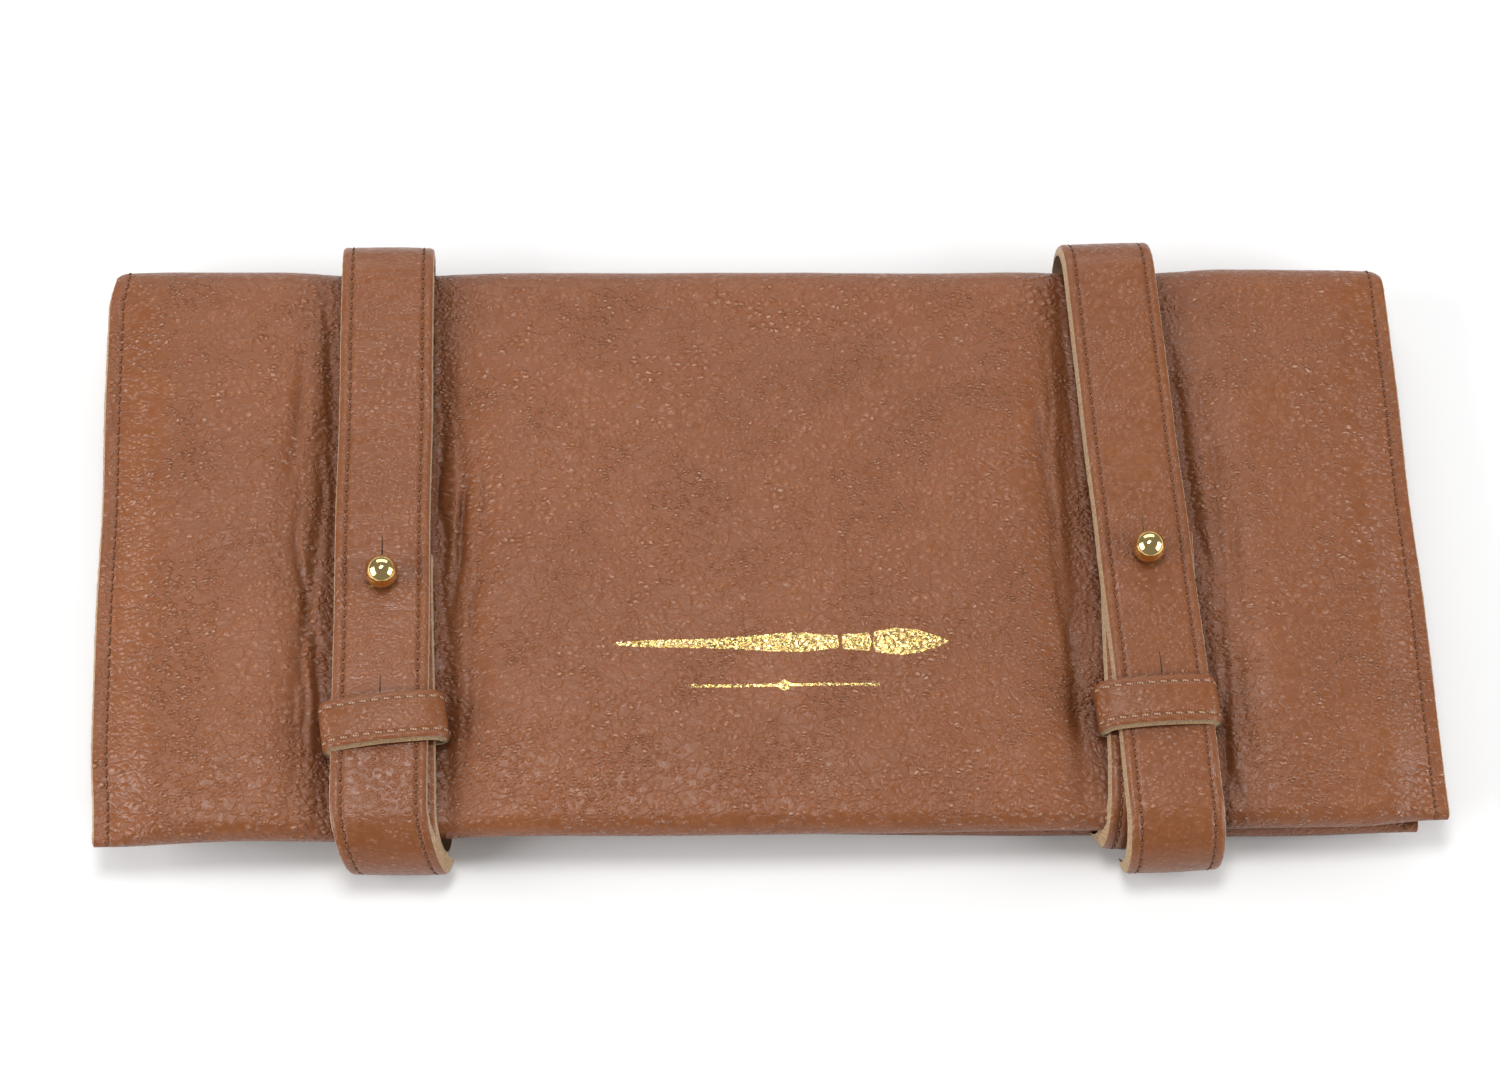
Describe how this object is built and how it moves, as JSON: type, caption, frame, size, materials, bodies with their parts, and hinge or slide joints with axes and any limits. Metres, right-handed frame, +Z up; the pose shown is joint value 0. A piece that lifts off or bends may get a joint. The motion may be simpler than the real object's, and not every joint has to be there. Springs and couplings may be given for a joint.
{
  "type": "brush roll case",
  "caption": "Folded leather case for paint brushes: two pocketed leaves on a spine, closed by two straps that button onto ball studs and pass through sliding keepers.",
  "frame": {"origin": "middle of the closed case on the surface that it lies on, under the two straps", "axes": "+X along the case, +Y towards the spine, +Z up out of the front leaf"},
  "size_m": [0.365, 0.1911, 0.0365],
  "materials": {
    "case_leather": "full-grain, pebbled, waxed tan brown",
    "strap_leather": "full-grain strap leather with raw cream edges",
    "lining_leather": "flesh side, brushed",
    "thread": "waxed brown thread",
    "brass": "polished"
  },
  "bodies": {
    "back_leaf": {"back_panel": "case_leather", "spine_fold": "case_leather", "back_seam_left": "thread", "back_seam_right": "thread", "left_brush_loops": "lining_leather", "left_strap_run": "strap_leather", "left_strap_rivets": "brass", "right_brush_loops": "lining_leather", "right_strap_run": "strap_leather", "right_strap_rivets": "brass"},
    "front_leaf": {"front_panel": "case_leather", "front_seam_left": "thread", "front_seam_right": "thread"},
    "left_tail": {"left_strap_tail": "strap_leather", "left_tail_stitching": "thread"},
    "left_stud_end": {"left_stud_end": "strap_leather", "left_stud_end_stitching": "thread", "left_stud": "brass", "left_stud_screw": "brass"},
    "left_keeper": {"left_keeper": "strap_leather", "left_keeper_stitching": "thread"},
    "right_tail": {"right_strap_tail": "strap_leather", "right_tail_stitching": "thread"},
    "right_stud_end": {"right_stud_end": "strap_leather", "right_stud_end_stitching": "thread", "right_stud": "brass", "right_stud_screw": "brass"},
    "right_keeper": {"right_keeper": "strap_leather", "right_keeper_stitching": "thread"}
  },
  "joints": [
    {"name": "cover_open", "type": "hinge", "parent": "back_leaf", "child": "front_leaf", "pos_m": [0, 0.07695, 0.012], "axis": [-1, 0, 0], "range_deg": [0, 176], "deforming": ["spine_fold"]},
    {"name": "left_tail_open", "type": "hinge", "parent": "back_leaf", "child": "left_tail", "pos_m": [-0.10548, 0.08009, 0.01385], "axis": [-0.9999, 0.014, 0], "range_deg": [0, 176], "deforming": ["left_strap_tail"]},
    {"name": "left_stud_end_open", "type": "hinge", "parent": "back_leaf", "child": "left_stud_end", "pos_m": [-0.10623, -0.0789, 0.0126], "axis": [1, 0.0087, 0], "range_deg": [0, 168], "deforming": ["left_stud_end", "left_keeper", "left_stud_end_stitching", "left_stud", "left_stud_screw"]},
    {"name": "left_keeper_slide", "type": "slide", "parent": "left_stud_end", "child": "left_keeper", "axis": [-0.0087, 1, 0], "range_m": [-0.012, 0.024]},
    {"name": "right_tail_open", "type": "hinge", "parent": "back_leaf", "child": "right_tail", "pos_m": [0.10125, 0.08116, 0.01385], "axis": [-0.9995, -0.0314, 0], "range_deg": [0, 176], "deforming": ["right_strap_tail"]},
    {"name": "right_stud_end_open", "type": "hinge", "parent": "back_leaf", "child": "right_stud_end", "pos_m": [0.1011, -0.07883, 0.0126], "axis": [0.9991, -0.0419, 0], "range_deg": [0, 168], "deforming": ["right_stud_end", "right_keeper", "right_stud_end_stitching", "right_stud", "right_stud_screw"]},
    {"name": "right_keeper_slide", "type": "slide", "parent": "right_stud_end", "child": "right_keeper", "axis": [0.0419, 0.9991, 0], "range_m": [-0.012, 0.024]}
  ],
  "couplings": [
    {"joint": "left_tail_open", "follows": "cover_open", "ratio": 1},
    {"joint": "left_stud_end_open", "follows": "cover_open", "ratio": 0.9544},
    {"joint": "right_tail_open", "follows": "cover_open", "ratio": 1},
    {"joint": "right_stud_end_open", "follows": "cover_open", "ratio": 0.9544}
  ]
}
